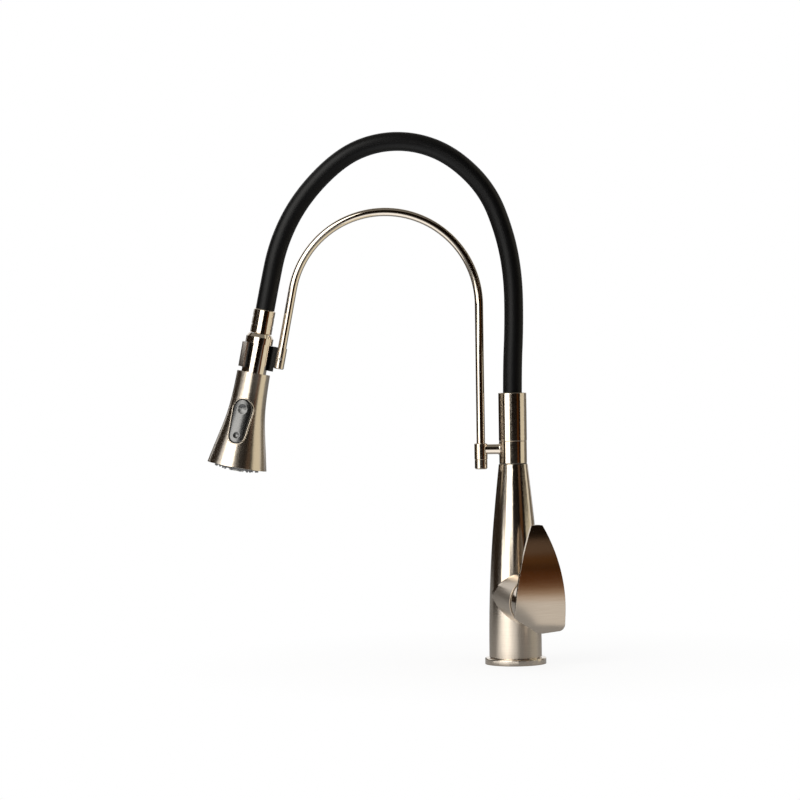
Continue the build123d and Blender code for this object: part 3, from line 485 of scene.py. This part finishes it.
def head_radius(level):
    """The head's outside radius at a level above its foot: its outline is a cubic Bezier curve."""
    share = np.linspace(0, 1, OUTLINE_POINTS)[:, None]
    rest = 1 - share
    weights = np.hstack([rest**3, 3 * share * rest**2, 3 * share**2 * rest, share**3])
    radius, height = (weights @ HEAD_OUTLINE).T
    return np.interp(level, height[::-1], radius[::-1])


def button_frame():
    """The button's origin on the head's surface, its ways across, along and out, and the head's way up."""
    up = np.array([math.sin(HEAD_TILT), 0.0, math.cos(HEAD_TILT)])
    across = np.array([math.cos(HEAD_TILT), 0.0, -math.sin(HEAD_TILT)])
    back = np.array([0.0, 1.0, 0.0])
    facing = -across * math.sin(BUTTON_BEARING) - back * math.cos(BUTTON_BEARING)
    low, high = head_radius(np.array([BUTTON_RISE - BUTTON_DEPTH, BUTTON_RISE + BUTTON_DEPTH]))
    slope = math.atan2(low - high, 2 * BUTTON_DEPTH)
    origin = HEAD_FOOT + up * BUTTON_RISE + facing * head_radius(BUTTON_RISE)
    x_way = across * math.cos(BUTTON_BEARING) - back * math.sin(BUTTON_BEARING)
    z_way = facing * math.cos(slope) + up * math.sin(slope)
    return origin, x_way, np.cross(z_way, x_way), z_way, up


def on_head(flat, lift):
    """Points over flat places in the button's frame: the head's surface there, raised by a lift.

    In each round a point moves out by the head's radius at its level, less its distance from the axis.
    """
    origin, x_way, y_way, z_way, up = button_frame()
    below = origin + flat[..., :1] * x_way + flat[..., 1:] * y_way
    height = np.zeros(flat.shape[:-1])
    for _ in range(SURFACE_ROUNDS):
        place = below + height[..., None] * z_way
        level = (place - HEAD_FOOT) @ up
        radius = np.linalg.norm(place - HEAD_FOOT - level[..., None] * up, axis=-1)
        height = height + head_radius(level) - radius
    return below + (height + lift)[..., None] * z_way


def pill_rays(around=40, along=40):
    """Rays of the tapered pill: the centres they start from, its radius there, and their ways out.

    They go round the upper end, down one side, round the lower end and up the other side. The sides
    lean by the angle whose sine is the difference of the end radii over the distance of their centres.
    """
    upper, lower = BUTTON_RADII
    lean = math.asin((upper - lower) / (2 * BUTTON_HALF_SPAN))
    upper_turn = np.linspace(-lean, math.pi + lean, around)
    lower_turn = np.linspace(math.pi + lean, 2 * math.pi - lean, around)
    down = np.linspace(1, 0, along + 2)[1:-1]
    turn = np.concatenate([upper_turn, np.full(along, math.pi + lean), lower_turn, np.full(along, -lean)])
    share = np.concatenate([np.ones(around), down, np.zeros(around), down[::-1]])
    centre = np.stack([np.zeros_like(share), BUTTON_HALF_SPAN * (2 * share - 1)], axis=-1)
    radius = lower + (upper - lower) * share
    way = np.stack([np.cos(turn), np.sin(turn)], axis=-1)
    return centre, radius, way


def button_lift(flat, inside):
    """How far the button stands out, from flat places and their distances inside its border.

    The border rolls off in a quarter ellipse. Each hollow takes away its depth times a power of one
    less the square of the distance over its radius.
    """
    width, drop = BUTTON_ROLL
    near = np.clip(1 - inside / width, 0, 1)
    lift = BUTTON_PROUD - drop * (1 - np.sqrt(1 - near**2))
    for end, radius, depth in zip((1, -1), HOLLOW_RADII, HOLLOW_DEPTHS):
        distance = np.hypot(flat[..., 0], flat[..., 1] - end * BUTTON_HALF_SPAN)
        lift -= depth * np.clip(1 - (distance / radius) ** 2, 0, 1) ** HOLLOW_POWER
    return lift


# Button with a rolled border and two hollows: rows out over its underside, then in over its top
centre, radius, way = pill_rays()
under_share = np.linspace(0, 1, UNDER_ROWS)
border_share = 1 - np.linspace(0, BORDER_SPREAD, BORDER_ROWS) ** 2
middle_share = np.linspace(MIDDLE_SHARE, 0, MIDDLE_ROWS)
reach = np.concatenate([under_share, border_share, middle_share])[:, None] * radius
flat = centre + reach[..., None] * way
is_under = np.arange(len(reach))[:, None] < UNDER_ROWS
rows = on_head(flat, np.where(is_under, -BUTTON_DEPTH, button_lift(flat, radius - reach)))
button = mesh_object("rocker_button", rows, grid_faces(*reach.shape), lacquered_abs)
clean_edges(button)
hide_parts("spray_button")
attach(button, "spray_button")

# Rim round the button: a half ellipse over its lip, then down outside and up inside
lip = np.linspace(0, 1, RIM_POINTS)
band = RIM_BAND[0] + (RIM_BAND[1] - RIM_BAND[0]) * np.concatenate([lip, [1, 0]])
rise = np.concatenate([RIM_PROUD * np.sqrt(1 - (2 * lip - 1) ** 2), [-BUTTON_DEPTH, -BUTTON_DEPTH]])
reach = radius[:, None] + band
rows = on_head(centre[:, None, :] + reach[..., None] * way[:, None, :], np.tile(rise, (len(reach), 1)))
rim = mesh_object("button_lip", rows, grid_faces(*reach.shape, close_rows=True), polished_nickel)
clean_edges(rim)
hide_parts("button_rim")
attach(rim, "spray_head")

# Pale floor: the share of plain white where shadows fall, which grows to one over these distances
WHITE_SHARE = 0.86
SHADOW_REACH = (0.05, 0.35)
# Gloss sees the floor darker: the glow at these distances
GLOSS_REACH = (0.3, 2.0)
GLOSS_LEVEL = (0.32, 0.20)
FLOOR_GREY = 0.82
FLOOR_REACH = 12.0
SQUARE = np.array([[-1.0, -1.0, 0.0], [1.0, -1.0, 0.0], [1.0, 1.0, 0.0], [-1.0, 1.0, 0.0]])
# Light of the surround on matte surfaces
SURROUND_FILL = 0.45


def seen_directly(tree):
    """One for rays that show the background: from the camera, from a gloss or through glass."""
    path = add_node(tree, "ShaderNodeLightPath")
    camera_or_gloss = add_node(
        tree,
        "ShaderNodeMath",
        {"operation": "MAXIMUM"},
        {0: path.outputs["Is Camera Ray"], 1: path.outputs["Is Glossy Ray"]},
    )
    any_of_them = add_node(
        tree,
        "ShaderNodeMath",
        {"operation": "MAXIMUM"},
        {0: camera_or_gloss.outputs[0], 1: path.outputs["Is Transmission Ray"]},
    )
    return any_of_them.outputs[0]


floor_paint, tree, output = new_material("floor_paint")
place = add_node(tree, "ShaderNodeTexCoord")
away = add_node(
    tree, "ShaderNodeVectorMath", {"operation": "LENGTH"}, {0: place.outputs["Object"]}
)
whiteness = add_node(
    tree,
    "ShaderNodeMapRange",
    inputs={
        "Value": away.outputs["Value"],
        "From Min": SHADOW_REACH[0],
        "From Max": SHADOW_REACH[1],
        "To Min": WHITE_SHARE,
        "To Max": 1.0,
    },
)
share = add_node(
    tree,
    "ShaderNodeMath",
    {"operation": "MULTIPLY"},
    {0: seen_directly(tree), 1: whiteness.outputs["Result"]},
)
falloff = add_node(
    tree,
    "ShaderNodeMapRange",
    inputs={
        "Value": away.outputs["Value"],
        "From Min": GLOSS_REACH[0],
        "From Max": GLOSS_REACH[1],
        "To Min": GLOSS_LEVEL[0],
        "To Max": GLOSS_LEVEL[1],
    },
)
path = add_node(tree, "ShaderNodeLightPath")
level = add_node(
    tree,
    "ShaderNodeMix",
    inputs={0: path.outputs["Is Camera Ray"], 2: falloff.outputs["Result"], 3: 1.0},
)
matte = add_node(tree, "ShaderNodeBsdfDiffuse", inputs={"Color": grey(FLOOR_GREY)})
glow = add_node(tree, "ShaderNodeEmission", inputs={"Color": grey(1.0), "Strength": level.outputs[0]})
mixed = add_node(
    tree,
    "ShaderNodeMixShader",
    inputs={0: share.outputs[0], 1: matte.outputs[0], 2: glow.outputs[0]},
)
finished(floor_paint, tree, output, mixed)
floor = mesh_object("floor", FLOOR_REACH * SQUARE, np.array([[0, 1, 2, 3]]), floor_paint, smooth=False)

# Surround: plain white where it is seen, and a soft fill of light
world = bpy.data.worlds.new("surround")
bpy.context.scene.world = world
world.use_nodes = True
tree = world.node_tree
tree.nodes.clear()
output = tree.nodes.new("ShaderNodeOutputWorld")
fill = add_node(tree, "ShaderNodeBackground", inputs={"Color": grey(1.0), "Strength": SURROUND_FILL})
white = add_node(tree, "ShaderNodeBackground", inputs={"Color": grey(1.0), "Strength": 1.0})
choice = add_node(
    tree,
    "ShaderNodeMixShader",
    inputs={0: seen_directly(tree), 1: fill.outputs[0], 2: white.outputs[0]},
)
tree.links.new(choice.outputs[0], output.inputs["Surface"])

# Studio cards that only gloss sees, standing in a ring; each is a little inside the one before it
CARD_CENTRE = np.array([-0.12, 0.0, 0.0])
CARD_REACH = 2.2
CARD_HEIGHT = 3.2
CARD_GAP = 0.01
CARD_STEPS = 25
# Name, bearings in degrees from the camera's side with the right positive, heights, colour, strength
CARDS = [
    ("left_flag", -180, -67, 0.0, 0.55, "2a2118", 1.0),
    ("upper_left_flag", -110, -47, 0.30, 0.75, "2a2118", 1.0),
    ("front_flag", -22, 96, 0.0, CARD_HEIGHT, "140c06", 1.0),
    ("low_softbox", -66, -25, 0.0, 0.30, "fffdf8", 3.0),
    ("middle_softbox", -46, -6, 0.30, 0.75, "fffdf8", 3.0),
    ("upper_softbox", -64, -17, 0.75, CARD_HEIGHT, "fffdf8", 4.0),
    ("low_front_card", 37, 51, 0.0, 0.15, "59300e", 1.0),
    ("dim_front_card", 37, 51, 0.15, 0.27, "40240b", 1.0),
    ("mid_front_card", 37, 51, 0.27, 0.45, "5c3a1a", 1.0),
    ("upper_front_card", 37, 51, 0.45, 0.75, "6a5544", 1.0),
    ("low_warm_card", 66, 104, 0.0, 0.30, "f9f1d9", 1.0),
    ("middle_warm_card", 95, 118, 0.30, 0.75, "f9f1d9", 1.0),
    ("upper_warm_card", 76, 110, 0.75, CARD_HEIGHT, "f9f1d9", 1.0),
    ("brown_card", 112, 140, 0.0, CARD_HEIGHT, "7d7567", 1.0),
]
# Two near cards: one darkens the left border of the spray head, one gives it a warm band on the right
HEAD_PLACE = np.array([-0.26, 0.0, 0.0])
HEAD_FLAG_REACH = 0.35
HEAD_FLAG = ("head_flag", -135, -80, 0.0, 0.75, "2a2118", 1.0)
HEAD_CARD_REACH = 0.17
HEAD_CARD = ("head_warm_card", 61, 98, 0.12, 0.34, "f9f1d9", 1.0)
# Cards that lie just over the floor and paint its light and shade for reflections: a painted pool of light
# on the left, and in front painted light near the faucet that turns into brown painted shade further out.
# Name, bearings, near and far distances, colour, strength
FLOOR_CARD_RISE = 0.0005
PAINTED_FLOOR_LIGHT_CARDS = [
    ("left_floor_card", -80, 6, 0.06, 0.8, "ffffff", 1.4),
    ("front_floor_card", 37, 51, 0.14, 0.32, "f4efe8", 0.9),
    ("second_floor_card", 37, 51, 0.32, 0.42, "d8c8b8", 1.0),
    ("third_floor_card", 37, 51, 0.42, 0.60, "a78a70", 1.0),
    ("fourth_floor_card", 37, 51, 0.60, 1.0, "7a5434", 1.0),
    ("last_floor_card", 37, 51, 1.0, 2.05, "633a17", 1.0),
]
# One grey card over all of it
CEILING_COLOUR = "8c8880"
CEILING_REACH = 1.5 * CARD_REACH


def stage_card(name, vertices, faces, code, strength):
    """A card of one even colour that only reflections see, and only from its front."""
    paint, tree, output = new_material(name)
    light = add_node(tree, "ShaderNodeEmission", inputs={"Color": colour(code), "Strength": strength})
    side = add_node(tree, "ShaderNodeNewGeometry")
    clear = add_node(tree, "ShaderNodeBsdfTransparent")
    one_sided = add_node(
        tree,
        "ShaderNodeMixShader",
        inputs={0: side.outputs["Backfacing"], 1: light.outputs["Emission"], 2: clear.outputs["BSDF"]},
    )
    finished(paint, tree, output, one_sided)
    card = mesh_object(name, vertices, faces, paint, smooth=False)
    card.visible_camera = False
    card.visible_diffuse = False
    card.visible_transmission = False
    card.visible_volume_scatter = False
    card.visible_shadow = False


def ways_out(from_bearing, to_bearing):
    """Level ways out at even steps between two bearings: sine to the right, cosine to the front."""
    turn = np.radians(np.linspace(from_bearing, to_bearing, CARD_STEPS))
    return np.stack([np.sin(turn), -np.cos(turn), np.zeros(CARD_STEPS)], axis=1)


def strip_card(name, first, last, code, strength):
    """A card between two rows of points."""
    a = np.arange(CARD_STEPS - 1)
    faces = np.stack([a + CARD_STEPS, a + CARD_STEPS + 1, a + 1, a], axis=1)
    stage_card(name, np.concatenate([first, last]), faces, code, strength)


def standing_card(name, from_bearing, to_bearing, low, high, code, strength, centre, reach):
    """An upright curved card: a strip of a cylinder round a centre between two bearings and heights."""
    foot = centre + reach * ways_out(from_bearing, to_bearing)
    strip_card(name, foot + [0.0, 0.0, low], foot + [0.0, 0.0, high], code, strength)


def painted_floor_card(name, from_bearing, to_bearing, near, far, code, strength):
    """A flat card that paints light and shade on the floor for reflections: a sector of a ring round the
    column.
    """
    outward = ways_out(from_bearing, to_bearing)
    rise = [0.0, 0.0, FLOOR_CARD_RISE]
    strip_card(name, near * outward + rise, far * outward + rise, code, strength)


for place_in_row, card in enumerate(CARDS):
    standing_card(*card, CARD_CENTRE, CARD_REACH - CARD_GAP * place_in_row)
standing_card(*HEAD_FLAG, HEAD_PLACE, HEAD_FLAG_REACH)
standing_card(*HEAD_CARD, HEAD_PLACE, HEAD_CARD_REACH)
# Painted light and shade lying on the floor: a pool of light on the left, and a falloff into brown shade
# in front
for card in PAINTED_FLOOR_LIGHT_CARDS:
    painted_floor_card(*card)
ceiling = CEILING_REACH * SQUARE + [0.0, 0.0, CARD_HEIGHT]
stage_card("ceiling_card", ceiling, np.array([[3, 2, 1, 0]]), CEILING_COLOUR, 1.0)

# Soft lamps that look at the middle of the faucet, for matte surfaces: name, place, size, power, colour
MIDDLE = Vector((-0.11, 0.0, 0.25))
LAMPS = [
    ("key_light", (-1.4, -1.8, 1.6), 1.2, 32, "fffaf2"),
    ("fill_light", (1.6, -1.4, 1.0), 1.4, 8, "fff4e4"),
    ("top_light", (0.0, 0.2, 2.2), 1.4, 14, "ffffff"),
]
for name, place, size, power, tint in LAMPS:
    lamp = bpy.data.lights.new(name, "AREA")
    lamp.shape = "SQUARE"
    lamp.size = size
    lamp.energy = power
    lamp.color = colour(tint)[:3]
    holder = bpy.data.objects.new(name, lamp)
    holder.location = place
    holder.rotation_euler = (MIDDLE - Vector(place)).to_track_quat("-Z", "Y").to_euler()
    holder.visible_glossy = False
    bpy.context.scene.collection.objects.link(holder)

# Camera
camera_data = bpy.data.cameras.new("camera")
camera_data.sensor_width = SENSOR_WIDTH
camera_data.lens = SENSOR_WIDTH * (CAMERA_PLACE - CAMERA_AIM).length / VIEW_WIDTH_AT_AIM
camera = bpy.data.objects.new("camera", camera_data)
look = (CAMERA_AIM - CAMERA_PLACE).to_track_quat("-Z", "Y").to_matrix().to_4x4()
camera.matrix_world = Matrix.Translation(CAMERA_PLACE) @ look @ Matrix.Rotation(CAMERA_ROLL, 4, "Z")
bpy.context.scene.collection.objects.link(camera)
bpy.context.scene.camera = camera

bpy.context.scene.view_settings.view_transform = "Standard"
